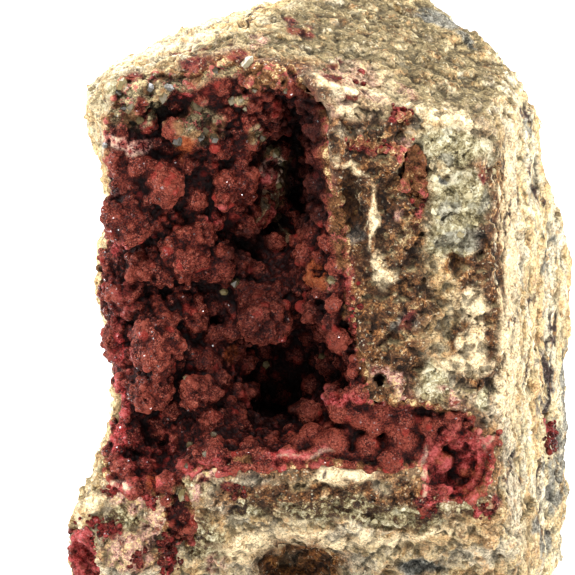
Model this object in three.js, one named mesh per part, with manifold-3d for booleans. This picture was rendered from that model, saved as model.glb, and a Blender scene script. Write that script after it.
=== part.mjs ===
// A roselite specimen: a broken block of layered vein rock whose front opens into a hollow, lined with a
// crust of dark red roselite balls. Smaller crusts fill pits of their own in the foot, in the upper rim and
// in the right side. Millimetres, +Z up. The front faces -Y. The origin is the middle of the flat face that
// the stone stands on.
import * as THREE from "three";
import { ImprovedNoise } from "three/addons/math/ImprovedNoise.js";
import { mergeVertices } from "three/addons/utils/BufferGeometryUtils.js";
import Module from "manifold-3d";

// ---- Driving dimensions ----

const STONE_MIDDLE = new THREE.Vector3(1, 0, 31);
const BOX_MIDDLE = 0.75; // how far right of the contour's zero the middle of the whole specimen's box lies
const HALF_DEPTH = 25; // of the body that the broken faces trim
const BLOCKINESS = 5; // 2 would make the body an egg, and a large number a box
const CONTOUR_RISE = 12; // degrees above level from which the contour is seen
const FRONT_DETAIL = 0.3; // how far the block's points are drawn towards the front
const REAR_DETAIL = -0.2; // the same for the hollow's points, which are drawn to its rear
const STONE_FINENESS = 10;
const STANDING_SIZE = 120; // of the space below the stone, which is cut off flat
const SEAT_GAP = 0.3; // between a crust and the rock that it sits on
const CRUST_THICKNESS = 1.1;
const CRUST_SETBACK = 0.7; // how far a crust's edge stays behind the broken faces

// Roughness: how high its bumps stand and how far across they are. Each shift picks other bumps.
const STONE_BUMPS = [
  { high: 0.7, size: 8, shift: 0 },
  { high: 0.35, size: 3.6, shift: 7 },
];
const HOLLOW_BUMPS = { high: 0.5, size: 4 };
const ROUNDED_BUMPS = { high: 0.06, size: 4 }; // high is a share of the rounded solid's own reach
const LAYERS = { high: 0.25, turn: 1.15, bend: 2.2, bendSize: 9 }; // turn is radians per millimetre of depth

// The stone's contour from the front, as millimetres right of and above its middle, anticlockwise from the top.
const CONTOUR = [
  [-3, 32.5], [-12, 29.5], [-19, 27], [-22.5, 26], [-24.5, 24], [-24, 18], [-22.5, 13], [-22, 8.5],
  [-23.5, 6], [-23.5, 2], [-22, -3], [-21.5, -9], [-22.5, -14], [-25, -18.5], [-27, -25], [-25.5, -32],
  [-23, -34.5], [23, -34.5], [26, -28], [26.5, -20], [26.5, -10], [25, 2], [24, 11], [22, 19.5],
  [18.5, 24.5], [15, 29], [12.5, 30], [10.5, 32.5], [6, 34],
];

// Flat breaks that bound the block: a point on each, and the way it faces.
const BROKEN_FACES = {
  front: { at: [12, -19, 36], facing: [0.06, -1, 0.03] },
  frontLeft: { at: [-17, -16, 50], facing: [-0.28, -0.95, 0.06] },
  underFront: { at: [0, -18.4, 12.6], facing: [0, -0.87, -0.5] },
  right: { at: [18, -17, 36], facing: [0.96, -0.27, 0.05] },
  topRight: { at: [9, -16, 56.0], facing: [0.28, -0.3, 1] },
  topLeft: { at: [-17.5, -14, 59.0], facing: [-0.368, 0.078, 1] },
  topBack: { at: [2, 11, 63], facing: [-0.05, 0.62, 0.8] },
  upperRightBack: { at: [20.3, 0, 56], facing: [0.8, 0.35, 0.52] },
  left: { at: [-24, 4, 40], facing: [-1, 0.1, 0.04] },
  backLeft: { at: [-19, 13, 35], facing: [-0.7, 0.7, 0.12] },
  back: { at: [0, 19, 30], facing: [0.08, 1, 0.1] },
  backRight: { at: [24, 16.5, 25], facing: [0.66, 0.74, -0.1] },
  backLow: { at: [0, 16, 8], facing: [0.1, 0.8, -0.6] },
  lowRight: { at: [26, -2, 5], facing: [0.75, -0.2, -0.6] },
  lowLeft: { at: [-21, 5, 5], facing: [-0.7, 0.25, -0.65] },
};

// Rounded swellings that stand on the block.
const SWELLINGS = {
  foot: { at: [-19.5, -11.5, 8.5], reach: [6.2, 7.4, 7.6], fineness: 3 },
  rimNose: { at: [1.2, -18.4, 51.6], reach: [2.2, 2.2, 2.2], fineness: 2 },
  feldsparLump: { at: [2.6, -19.1, 18.1], reach: [2.7, 1.5, 1.4], fineness: 2 },
  ledgeKnob: { at: [-11.0, -18.6, 16.8], reach: [2.6, 1.8, 1.9], fineness: 2 },
};

// The hollow is open to the front. Its main body takes in all that its rounded rooms hold, as seen from a point
// before it, and the side rooms branch off. Their rear walls carry the main crust.
const HOLLOW_EYE = new THREE.Vector3(-9, -23, 37);
const HOLLOW_FINENESS = 6;
const HOLLOW_ROOMS = {
  main: { at: [-9.5, -19, 38.0], reach: [12.4, 9.2, 19] },
  brow: { at: [-9.6, -19.4, 50.5], reach: [10.2, 6.6, 11] },
  leftBrow: { at: [-16.6, -16, 52.5], reach: [5.4, 4.6, 7] },
  deepCorner: { at: [-3.2, -18, 54.5], reach: [3.9, 9, 4.2] },
  slot: { at: [-3.2, -19, 46.5], reach: [4.5, 17, 11] },
  recess: { at: [-3.4, -18.5, 27.5], reach: [8.1, 15, 8.6] },
  openSide: { at: [-21, -17, 35], reach: [5.6, 8.5, 16] },
  apron: { at: [-17.5, -19.5, 20.8], reach: [6.4, 9, 5.4] },
};
const SIDE_ROOMS = {
  shelf: { at: [6.8, -19, 22.4], reach: [9.9, 9.2, 3.5], fineness: 2 },
  corner: { at: [13.8, -19.3, 19.4], reach: [3.5, 5, 4.2], fineness: 2 },
  channel: { at: [-14.2, -19.5, 12.2], reach: [1.7, 4.2, 7], fineness: 1 },
};

// Pits that hold a small crust of their own.
const CRUSTED_PITS = {
  foot_crust: { at: [-24.4, -15.4, 7.8], reach: [3.6, 3.6, 4.2], fineness: 2, balls: 6, ball: 1.1 },
  rim_crust: { at: [9.4, -19.4, 49.0], reach: [1.7, 2.6, 3.8], fineness: 2, balls: 5, ball: 0.8 },
  side_crust: { at: [24.6, 0.5, 18.6], reach: [1.9, 2.6, 1.8], fineness: 2, balls: 4, ball: 0.8 },
};

// Bare pits and moulds that old crystals and weathering left in the rock.
const BARE_PITS = {
  mould: { at: [3.0, -20.0, 45.6], reach: [1.7, 2.6, 4.3], fineness: 2 },
  pinhole: { at: [6.0, -19.6, 28.0], reach: [0.8, 3, 0.7], fineness: 2 },
  brownDent: { at: [13.6, -19.6, 40.4], reach: [1.2, 1.5, 1.9], fineness: 2 },
  lowerPit: { at: [-2.2, -15.6, 6.2], reach: [5.6, 3.4, 4.6], fineness: 2 },
};

// The largest balls of the crust, each a place on the hollow's wall and a radius.
const LARGE_BALLS = [
  [-19.0, 43.5, 2.6], [-13.2, 39.8, 3.1], [-9.4, 38.6, 2.6], [-19.6, 35.6, 2.4], [-16.6, 31.0, 2.7],
  [-5.8, 34.0, 2.9], [-9.3, 32.6, 1.8], [-9.2, 29.6, 1.6], [-12.6, 33.0, 1.9], [-15.8, 47.5, 2.3],
  [-8.5, 47.0, 2.2], [-20.6, 30.2, 2.0], [-12.0, 25.2, 2.4], [-8.0, 23.6, 2.5], [-17.8, 26.2, 2.4],
  [-19.4, 21.6, 2.0], [-13.8, 20.4, 2.0], [-1.6, 21.6, 1.8], [2.2, 22.3, 2.3], [7.6, 22.6, 2.5],
  [11.6, 21.6, 1.9], [1.0, 34.0, 2.0], [2.2, 28.6, 2.2], [3.8, 25.6, 1.9], [-13.0, 52.0, 2.2],
  [13.4, 19.0, 1.6],
];

// The smaller balls between them stand about evenly over the hollow's rear wall.
const BALL_GRID = { left: -21, right: 17, low: 17, high: 59, spacing: 5.4, jitter: 2.4 };
const SMALL_BALL = { least: 0.9, spread: 0.9 };
const PIT_BALL = { least: 0.75, spread: 0.5 }; // as shares of the pit's own ball
const PROUD = { large: 0.55, small: 0.45, pit: 0.3 }; // how far a ball's middle stands off the wall, in its radii
const BALL_FACETS = { high: 0.22, size: 1.1, shift: 3 }; // high is a share of the ball's radius
const FINE_BALL_RADIUS = 2.7; // a larger ball has more facets
const EDGE_MARGIN = { wall: 0.3, pit: 0.2 }; // how far inside the block a ball's place on the wall must be
const BALL_BED = 0.8; // depth behind the wall at which that is measured
const SEEDS = { main: 11, pits: 21 };

// ---- Tools ----

const wasm = await Module();
wasm.setup();
const perlin = new ImprovedNoise();

/** Smooth noise of a place, from about -1 to 1, whose bumps are `size` millimetres across. */
function noise(place, size, shift = 0) {
  return perlin.noise(place.x / size + shift, place.y / size + shift, place.z / size - shift);
}

/** A repeatable stream of numbers from 0 to 1. */
function numbersFrom(seed) {
  let state = seed;
  return () => {
    state = (state * 1664525 + 1013904223) % 4294967296;
    return state / 4294967296;
  };
}

/** A closed three.js geometry as a manifold-3d solid. */
function solidOf(geometry) {
  const bare = geometry.clone();
  bare.deleteAttribute("normal");
  bare.deleteAttribute("uv");
  const merged = mergeVertices(bare, 1e-4);
  return new wasm.Manifold(
    new wasm.Mesh({
      numProp: 3,
      vertProperties: new Float32Array(merged.attributes.position.array),
      triVerts: new Uint32Array(merged.index.array),
    }),
  );
}

/** A solid's surface as a three.js geometry. */
function geometryOf(solid) {
  const mesh = solid.getMesh();
  const geometry = new THREE.BufferGeometry();
  geometry.setAttribute("position", new THREE.BufferAttribute(mesh.vertProperties, mesh.numProp));
  geometry.setIndex(new THREE.BufferAttribute(mesh.triVerts, 1));
  geometry.computeVertexNormals();
  return geometry;
}

/** An icosphere whose points are moved out along their directions from `middle`, as far as reachOf says. */
function starSolid(middle, fineness, reachOf, pull = 0) {
  const geometry = new THREE.IcosahedronGeometry(1, fineness);
  const points = geometry.attributes.position;
  const direction = new THREE.Vector3();
  for (let i = 0; i < points.count; i++) {
    direction.fromBufferAttribute(points, i);
    direction.y -= pull;
    direction.normalize();
    const point = direction.clone().multiplyScalar(reachOf(direction)).add(middle);
    points.setXYZ(i, point.x, point.y, point.z);
  }
  return solidOf(geometry);
}

/** The distance from an ellipsoid's middle to its surface along a direction. */
function ellipsoidReach(direction, reach, grow) {
  const half = reach.clone().addScalar(grow);
  return 1 / direction.clone().divide(half).length();
}

/** A rough rounded solid: a room, pit or swelling, grown on every side by `grow`. */
function roundedSolid({ at, reach, fineness }, grow) {
  const middle = new THREE.Vector3(...at);
  const half = new THREE.Vector3(...reach);
  return starSolid(middle, fineness, (direction) => {
    const smooth = ellipsoidReach(direction, half, 0);
    const surface = direction.clone().multiplyScalar(smooth).add(middle);
    const bumps = noise(surface, ROUNDED_BUMPS.size) * ROUNDED_BUMPS.high;
    return ellipsoidReach(direction, half, grow) * (1 + bumps);
  });
}

/** How far a ray from the hollow's eye goes before it has left every room, when each is grown by `grow`. */
function hollowReach(direction, grow) {
  let reach = 1;
  for (const { at, reach: half } of Object.values(HOLLOW_ROOMS)) {
    const scale = new THREE.Vector3(...half).addScalar(grow);
    const start = HOLLOW_EYE.clone().sub(new THREE.Vector3(...at)).divide(scale);
    const step = direction.clone().divide(scale);
    const b = start.dot(step);
    const square = b * b - step.lengthSq() * (start.lengthSq() - 1);
    if (square > 0) reach = Math.max(reach, (Math.sqrt(square) - b) / step.lengthSq());
  }
  const place = direction.clone().multiplyScalar(reach).add(HOLLOW_EYE);
  return reach + HOLLOW_BUMPS.high * noise(place, HOLLOW_BUMPS.size);
}

/** The hollow with its side rooms, grown on every side by `grow`. */
function hollow(grow) {
  const body = starSolid(HOLLOW_EYE, HOLLOW_FINENESS, (direction) => hollowReach(direction, grow), REAR_DETAIL);
  return union([body, ...Object.values(SIDE_ROOMS).map((room) => roundedSolid(room, grow))]);
}

function union(solids) {
  return wasm.Manifold.union(solids);
}

/** The largest body of a solid, without the crumbs that a cut leaves beside it. */
function largestBody(solid) {
  return solid.decompose().reduce((best, body) => (body.volume() > best.volume() ? body : best));
}

// ---- The rock ----

const rise = THREE.MathUtils.degToRad(CONTOUR_RISE);
const CONTOUR_UP = new THREE.Vector3(0, Math.sin(rise), Math.cos(rise));
const CONTOUR_AWAY = new THREE.Vector3(0, Math.cos(rise), -Math.sin(rise));
const contourPolar = CONTOUR.map(([right, up]) => ({
  angle: (Math.atan2(up, right) + 2 * Math.PI) % (2 * Math.PI),
  radius: Math.hypot(right, up),
})).sort((a, b) => a.angle - b.angle);
const firstPoint = contourPolar[0];
contourPolar.unshift({ ...contourPolar.at(-1), angle: contourPolar.at(-1).angle - 2 * Math.PI });
contourPolar.push({ ...firstPoint, angle: firstPoint.angle + 2 * Math.PI });

/** The contour's distance from the stone's middle at an angle, anticlockwise from the right. */
function contourRadius(angle) {
  const turn = (angle + 2 * Math.PI) % (2 * Math.PI);
  const next = contourPolar.findIndex((point) => point.angle > turn);
  const [before, after] = [contourPolar[next - 1], contourPolar[next]];
  const share = (turn - before.angle) / (after.angle - before.angle);
  return THREE.MathUtils.lerp(before.radius, after.radius, share);
}

const brokenFaces = Object.values(BROKEN_FACES).map(({ at, facing }) => {
  const normal = new THREE.Vector3(...facing).normalize();
  return { normal, distance: new THREE.Vector3(...at).sub(STONE_MIDDLE).dot(normal) };
});

/** How far the block reaches along a direction: a blocky body inside flat breaks, with a rough skin. */
function blockReach(direction, grow) {
  const up = direction.dot(CONTOUR_UP);
  const away = direction.dot(CONTOUR_AWAY);
  const across = Math.hypot(direction.x, up);
  const radius = contourRadius(Math.atan2(up, direction.x));
  const fullness = (across / radius) ** BLOCKINESS + (Math.abs(away) / HALF_DEPTH) ** BLOCKINESS;
  let reach = fullness ** (-1 / BLOCKINESS);
  for (const { normal, distance } of brokenFaces) {
    const along = direction.dot(normal);
    if (along > 0) reach = Math.min(reach, distance / along);
  }
  const place = direction.clone().multiplyScalar(reach).add(STONE_MIDDLE);
  const bumps = STONE_BUMPS.reduce((sum, { high, size, shift }) => sum + high * noise(place, size, shift), 0);
  const layers = LAYERS.high * Math.sin(place.y * LAYERS.turn + LAYERS.bend * noise(place, LAYERS.bendSize));
  return reach + grow + bumps + layers * (1 - Math.abs(direction.y));
}

/** The whole stone, grown on every side by `grow`, with its hollows shrunk by as much. */
function stone(grow) {
  const block = starSolid(STONE_MIDDLE, STONE_FINENESS, (d) => blockReach(d, grow), FRONT_DETAIL);
  const swellings = Object.values(SWELLINGS).map((swelling) => roundedSolid(swelling, grow));
  const pits = Object.values({ ...CRUSTED_PITS, ...BARE_PITS }).map((pit) => roundedSolid(pit, -grow));
  const standing = new THREE.BoxGeometry(STANDING_SIZE, STANDING_SIZE, STANDING_SIZE);
  standing.translate(0, 0, -STANDING_SIZE / 2 - grow);
  return largestBody(
    union([block, ...swellings])
      .subtract(union([hollow(-grow), ...pits]))
      .subtract(solidOf(standing)),
  );
}

// ---- The crusts ----

/** A crystal ball: an icosphere with slightly uneven corners, so that its facets catch the light apart. */
function crystalBall(place, radius) {
  return starSolid(place, radius > FINE_BALL_RADIUS ? 1 : 0, (direction) => {
    const corner = direction.clone().multiplyScalar(radius).add(place);
    return radius * (1 + BALL_FACETS.high * noise(corner, BALL_FACETS.size, BALL_FACETS.shift));
  });
}

/** Where a ray from inside a room, at the height and side given, meets the rear wall of the rooms. */
function rearWall(x, z) {
  let depth = -Infinity;
  for (const { at, reach } of Object.values({ ...HOLLOW_ROOMS, ...SIDE_ROOMS })) {
    const square = 1 - ((x - at[0]) / reach[0]) ** 2 - ((z - at[2]) / reach[2]) ** 2;
    if (square > 0) depth = Math.max(depth, at[1] + reach[1] * Math.sqrt(square));
  }
  return depth;
}

/** True where a place is well inside the block. */
function insideBlock(place, margin) {
  const offset = place.clone().sub(STONE_MIDDLE);
  const direction = offset.clone().normalize();
  return offset.length() < blockReach(direction, 0) - margin;
}

/** The layer that covers a room's walls up to a little behind the broken faces; roomGrownBy gives the room. */
function wallLayer(roomGrownBy) {
  const block = starSolid(STONE_MIDDLE, STONE_FINENESS, (d) => blockReach(d, -CRUST_SETBACK), FRONT_DETAIL);
  return roomGrownBy(0).subtract(roomGrownBy(-CRUST_THICKNESS - SEAT_GAP)).intersect(block);
}

const grownStone = stone(SEAT_GAP);

/** The main crust: a layer on the hollow's walls with its balls grown together. */
function mainCrust() {
  const random = numbersFrom(SEEDS.main);
  const balls = LARGE_BALLS.map(([x, z, radius]) => {
    const place = new THREE.Vector3(x, rearWall(x, z) - PROUD.large * radius, z);
    return crystalBall(place, radius);
  });
  const { left, right, low, high, spacing, jitter } = BALL_GRID;
  for (let column = left; column < right; column += spacing) {
    for (let row = low; row < high; row += spacing) {
      const x = column + jitter * (random() - 0.5);
      const z = row + jitter * (random() - 0.5);
      const radius = SMALL_BALL.least + SMALL_BALL.spread * random();
      const depth = rearWall(x, z);
      const bed = new THREE.Vector3(x, depth + BALL_BED, z);
      if (Number.isFinite(depth) && insideBlock(bed, EDGE_MARGIN.wall)) {
        balls.push(crystalBall(new THREE.Vector3(x, depth - PROUD.small * radius, z), radius));
      }
    }
  }
  return largestBody(union([wallLayer(hollow), ...balls]).subtract(grownStone));
}

/** A small crust in a pit of its own. */
function pitCrust(pit, seed) {
  const random = numbersFrom(seed);
  const middle = new THREE.Vector3(...pit.at);
  const half = new THREE.Vector3(...pit.reach);
  const balls = [];
  while (balls.length < pit.balls) {
    const direction = new THREE.Vector3(random() - 0.5, random() - 0.5, random() - 0.5).normalize();
    const radius = pit.ball * (PIT_BALL.least + PIT_BALL.spread * random());
    const wall = direction.clone().multiplyScalar(ellipsoidReach(direction, half, 0)).add(middle);
    const place = wall.clone().addScaledVector(direction, -PROUD.pit * radius);
    if (insideBlock(wall, EDGE_MARGIN.pit)) balls.push(crystalBall(place, radius));
  }
  return largestBody(union([wallLayer((grow) => roundedSolid(pit, grow)), ...balls]).subtract(grownStone));
}

// ---- The specimen ----

const MATERIALS = {
  rock: new THREE.MeshStandardMaterial({ color: 0xa8946c, roughness: 0.85, flatShading: true }),
  roselite: new THREE.MeshStandardMaterial({ color: 0x6b1f1f, roughness: 0.45, flatShading: true }),
};

const specimen = new THREE.Group();
specimen.position.x = -BOX_MIDDLE;

function addPiece(name, solid, material) {
  const mesh = new THREE.Mesh(geometryOf(solid), material);
  mesh.name = name;
  specimen.add(mesh);
}

addPiece("matrix", stone(0), MATERIALS.rock);
addPiece("main_crust", mainCrust(), MATERIALS.roselite);
Object.entries(CRUSTED_PITS).forEach(([name, pit], i) => {
  addPiece(name, pitCrust(pit, SEEDS.pits + i), MATERIALS.roselite);
});

export default specimen;
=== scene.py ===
import math
from itertools import product

import bmesh
import bpy
import numpy as np
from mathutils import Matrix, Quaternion, Vector
from mathutils.bvhtree import BVHTree
from mathutils.kdtree import KDTree


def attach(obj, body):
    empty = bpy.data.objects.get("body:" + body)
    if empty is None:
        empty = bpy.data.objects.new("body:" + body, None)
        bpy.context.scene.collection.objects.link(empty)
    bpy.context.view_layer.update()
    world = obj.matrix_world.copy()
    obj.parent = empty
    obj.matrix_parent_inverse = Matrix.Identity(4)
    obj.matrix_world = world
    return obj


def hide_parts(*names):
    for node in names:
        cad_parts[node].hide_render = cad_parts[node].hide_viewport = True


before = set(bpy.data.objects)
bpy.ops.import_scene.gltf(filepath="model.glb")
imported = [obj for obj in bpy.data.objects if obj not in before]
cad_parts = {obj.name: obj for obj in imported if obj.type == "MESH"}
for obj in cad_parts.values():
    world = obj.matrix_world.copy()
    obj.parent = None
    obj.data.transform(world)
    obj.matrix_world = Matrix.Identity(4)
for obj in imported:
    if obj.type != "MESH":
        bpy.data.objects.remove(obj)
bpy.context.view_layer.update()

# ---- The rock ----
# One block of layered vein rock, broken off a vein wall: cream gneiss with grey-green quartz,
# feldspar and rusty brown grains. Its layers stand upright and run back to the left. It has
# only been knocked free, so every face is a rough break.

MM = 0.001
ROCK_VOXEL = 0.38
ROCK_TRIANGLES = 197000
EYE = Vector((-4.0, -17.0, 37.0))
EYE_RISE = math.radians(12)
EYE_DISTANCE = 420.0
VIEW_SPAN = 57.5
VIEW_PIXELS = 575
LAYERS = np.array([0.45, 0.89, 0.0])
LAYER_THICKNESS = 2.6
LAYER_STRETCH = (1, 0.28, 0.2)
LEDGE_HEIGHT = 0.3
UNDER_CRUST = 0.7
SEAM_WIDTH = 0.5
FRONT_ENDS = -0.12
REAR_ENDS = 0.0


def read(items, name, width, kind=np.float32):
    """A row of numbers for each of a mesh's points, edges or triangles."""
    values = np.empty(len(items) * width, kind)
    items.foreach_get(name, values)
    return values.reshape(-1, width)


def points_of(mesh):
    """The mesh's points in millimetres."""
    return read(mesh.vertices, "co", 3).astype(np.float64) / MM


def normals_of(mesh):
    return read(mesh.vertex_normals, "vector", 3).astype(np.float64)


def place_points(mesh, points):
    mesh.vertices.foreach_set("co", (points * MM).astype(np.float32).ravel())
    mesh.update()


def surface_of(mesh):
    """A surface to measure against, in millimetres."""
    return BVHTree.FromPolygons(points_of(mesh).tolist(), [p.vertices[:] for p in mesh.polygons])


def scatter(i, j, k, seed):
    """A repeatable number from 0 to 1 for each whole-numbered place."""
    h = i * 374761393 + j * 668265263 + k * 1440662683 + seed * 1274126177
    h = (h ^ ((h >> 13) & 0x7FFFF)) * 1274126177 & 0xFFFFFFFF
    h = ((h ^ (h >> 15)) * 2246822519) & 0xFFFFFFFF
    return ((h ^ (h >> 16)) & 0xFFFFFF) / 0xFFFFFF


def lattice_turn(seed):
    """A turn for the grid the bumps are laid out on, so that no two grids line up."""
    return np.linalg.qr(np.random.default_rng(seed + 100).normal(size=(3, 3)))[0]


def waves(points, size, seed=0):
    """Smooth bumps from -1 to 1, about `size` millimetres across."""
    place = (points / size) @ lattice_turn(seed) + seed * 11.7
    corner = np.floor(place).astype(np.int64)
    f = place - corner
    f = f * f * f * (f * (f * 6 - 15) + 10)
    total = np.zeros(len(points))
    for a, b, c in product((0, 1), repeat=3):
        share = np.abs(1 - a - f[:, 0]) * np.abs(1 - b - f[:, 1]) * np.abs(1 - c - f[:, 2])
        total += share * scatter(corner[:, 0] + a, corner[:, 1] + b, corner[:, 2] + c, seed)
    return (total - 0.5) * 2.2


def applied(obj, kind, **settings):
    """Applies one modifier of this kind to the object's mesh."""
    modifier = obj.modifiers.new(kind, kind)
    for key, value in settings.items():
        setattr(modifier, key, value)
    graph = bpy.context.evaluated_depsgraph_get()
    old = obj.data
    obj.data = bpy.data.meshes.new_from_object(obj.evaluated_get(graph), depsgraph=graph)
    obj.modifiers.clear()
    bpy.data.meshes.remove(old)


def thinned(obj, triangles, hidden):
    """Brings the object down to a count of triangles, most of all where `hidden` is high."""
    group = obj.vertex_groups.new(name="hidden")
    for step in range(11):
        chosen = np.flatnonzero(np.round(hidden * 10) == step)
        group.add(chosen.tolist(), step / 10, "REPLACE")
    triangle_count = sum(len(p.vertices) - 2 for p in obj.data.polygons)
    applied(
        obj, "DECIMATE", ratio=min(1, triangles / triangle_count),
        vertex_group="hidden", vertex_group_factor=1.0,
    )
    obj.vertex_groups.clear()


def piece(name, mesh):
    obj = bpy.data.objects.new(name, mesh)
    bpy.context.scene.collection.objects.link(obj)
    return obj


def paint(mesh, name, *channels):
    """Stores up to three shares from 0 to 1 at each point, for a finish to read."""
    layer = mesh.color_attributes.new(name, "FLOAT_COLOR", "POINT")
    rows = np.zeros((len(mesh.vertices), 4), np.float32)
    rows[:, 3] = 1
    for i, share in enumerate(channels):
        rows[:, i] = np.clip(share, 0, 1)
    layer.data.foreach_set("color", rows.ravel())


eye_right = np.array([1.0, 0.0, 0.0])
eye_up = np.array([0.0, math.sin(EYE_RISE), math.cos(EYE_RISE)])
eye_away = np.array([0.0, math.cos(EYE_RISE), -math.sin(EYE_RISE)])
eye_at = np.array(EYE) - eye_away * EYE_DISTANCE


def in_view(points):
    """How far across and down the view each point lies, in parts of its width of 575."""
    ray = points - eye_at
    scale = EYE_DISTANCE / (ray @ eye_away) * VIEW_PIXELS / VIEW_SPAN
    return VIEW_PIXELS / 2 + (ray @ eye_right) * scale, VIEW_PIXELS / 2 - (ray @ eye_up) * scale


def sight(across, down):
    """The direction from the viewer to a place in the view."""
    part = VIEW_SPAN / VIEW_PIXELS / EYE_DISTANCE
    right, up = (across - VIEW_PIXELS / 2) * part, (VIEW_PIXELS / 2 - down) * part
    line = eye_away + eye_right * right + eye_up * up
    return line / np.linalg.norm(line)


def met_by(surface, across, down):
    """Where a line of sight meets a surface and which way that faces there, or None twice."""
    return surface.ray_cast(Vector(eye_at), Vector(sight(across, down)))[:2]


def smooth(low, high, value):
    t = np.clip((value - low) / (high - low), 0, 1)
    return t * t * (3 - 2 * t)


def off_oval(across, down, middle_across, middle_down, half_across, half_down, tilt=0):
    """How far each place in the view lies from an oval's middle, with 1 at its rim."""
    a, d = across - middle_across, down - middle_down
    turn = math.radians(tilt)
    a, d = a * math.cos(turn) + d * math.sin(turn), d * math.cos(turn) - a * math.sin(turn)
    return np.hypot(a / half_across, d / half_down)


class Patches:
    """Soft-edged patches facing the viewer, each (across, down, half width, half height, tilt)."""

    def __init__(self, points, wander=8.0):
        across, down = in_view(points)
        self.across = across + wander * (waves(points, 3.2, 5) + 0.6 * waves(points, 1.1, 6))
        self.down = down + wander * (waves(points, 3.2, 7) + 0.6 * waves(points, 1.1, 8))

    def __call__(self, *ovals):
        share = np.zeros(len(self.across))
        for oval in ovals:
            share = np.maximum(share, 1 - smooth(0.7, 1.2, off_oval(self.across, self.down, *oval)))
        return share


crust_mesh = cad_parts["main_crust"].data
crust_surface = surface_of(crust_mesh)


def off_surface(points, surface, limit):
    """Distance of each point from a surface, up to a limit."""
    found = (surface.find_nearest(Vector(p), limit)[3] for p in points)
    return np.array([limit if d is None else d for d in found])


def off_crust(points):
    return off_surface(points, crust_surface, 4.0)


def relief(mesh, rounds):
    """How far each point stands above (or lies below) the mesh's smoothed form, in millimetres."""
    a, b = read(mesh.edges, "vertices", 2, np.int32).T
    points, normals = points_of(mesh), normals_of(mesh)
    most = len(points)
    count = np.bincount(a, minlength=most) + np.bincount(b, minlength=most)
    soft = points
    for _ in range(rounds):
        soft = np.stack([
            (np.bincount(a, soft[b, i], most) + np.bincount(b, soft[a, i], most)) / count
            for i in range(3)
        ], 1)
    return ((points - soft) * normals).sum(1)


# Ovals in the view: middle across and down, half width and half height, depth in millimetres.
HOLLOWS = (
    (305, 118, 24, 30, 4.0), (308, 195, 18, 38, 6.0), (250, 252, 28, 24, 4.0),
    (160, 298, 14, 14, 3.0), (214, 322, 12, 10, 2.5), (350, 335, 12, 26, 3.0),
    (275, 408, 30, 24, 3.0), (425, 420, 14, 8, 2.0), (455, 472, 18, 16, 2.5),
    (150, 240, 10, 12, 1.5), (250, 200, 10, 14, 2.0),
)


def sunk(points, share):
    """Points moved away from the viewer in the hollow's deeper places."""
    across, down = in_view(points)
    depth = np.zeros(len(points))
    for *oval, deep in HOLLOWS:
        depth = np.maximum(depth, deep * np.exp(-off_oval(across, down, *oval) ** 2))
    return points + eye_away * (depth * share)[:, None]


# Ovals in the view, some with a tilt in degrees, and last how far each stands out in millimetres.
RISES = (
    (392, 168, 9, 8, 0.8), (409, 175, 8, 11, 0.9), (398, 203, 13, 8, 0.8), (398, 115, 12, 9, 0.7),
    (390, 128, 8, 6, 0.5), (330, 140, 15, 15, 0.7), (348, 166, 22, 5, 35, 0.6),
    (372, 215, 5, 36, 0.7), (378, 368, 16, 5, 0.5), (467, 335, 17, 14, 0.8), (472, 360, 17, 9, 0.7),
    (512, 367, 12, 22, 0.6), (385, 270, 9, 12, 0.6), (350, 474, 24, 11, -3, 1.6),
    (400, 535, 80, 6, 3, 0.6), (240, 540, 30, 9, -20, 0.6), (345, 90, 30, 8, 20, 0.6),
    (512, 215, 9, 60, 0.7), (135, 545, 18, 22, 0.7), (95, 500, 14, 10, 0.7),
    (440, 150, 12, 12, 0.4), (470, 190, 13, 10, 0.5), (440, 215, 13, 11, 0.5),
    (480, 225, 10, 9, 0.5), (460, 295, 13, 10, 0.5), (425, 345, 10, 12, 0.5),
    (400, 300, 9, 12, 0.4), (440, 380, 11, 9, 0.4), (475, 395, 11, 12, 0.5),
    (200, 498, 14, 10, 0.5), (207, 532, 14, 16, 0.5), (505, 430, 8, 16, 0.5),
    (349, 212, 12, 34, -1.3), (445, 180, 5, 5, -0.6), (492, 160, 5, 9, -0.6),
    (455, 265, 8, 10, -0.9), (482, 252, 6, 5, -0.5), (433, 265, 5, 5, -0.6), (380, 380, 5, 5, -2.5),
    (300, 560, 40, 16, -1.4), (425, 566, 26, 8, -0.6), (345, 318, 8, 8, -0.5),
    (410, 255, 8, 14, -0.5), (395, 340, 9, 9, -0.6), (445, 330, 6, 12, -0.5),
    (488, 385, 5, 10, -0.5), (420, 365, 8, 6, -0.5), (510, 170, 3, 16, -0.6),
    (512, 240, 3, 22, -0.5), (526, 115, 5, 10, -0.6), (534, 185, 6, 18, -0.5),
    (524, 365, 4, 24, -0.6), (545, 385, 5, 30, -0.5), (385, 90, 10, 4, 20, -0.4),
    (265, 512, 14, 6, -0.4), (430, 500, 6, 8, -0.4),
)


def raised_or_dented(points, share):
    """Points brought nearer the viewer or moved back, at the broken front's own knobs and dents."""
    across, down = in_view(points)
    shift = np.zeros(len(points))
    for *oval, high in RISES:
        shift += high * np.exp(-off_oval(across, down, *oval) ** 3)
    return points - eye_away * (shift * share)[:, None]


def knobbly(points, size, seed):
    """Rounded knobs with sharp creases between them, about -0.5 to 0.5."""
    bent = points + 0.35 * size * waves(points, size * 1.3, seed + 50)[:, None]
    return np.abs(waves(bent, size, seed) + 0.4 * waves(bent, size * 0.6, seed + 60)) * 1.5 - 0.45


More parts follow.
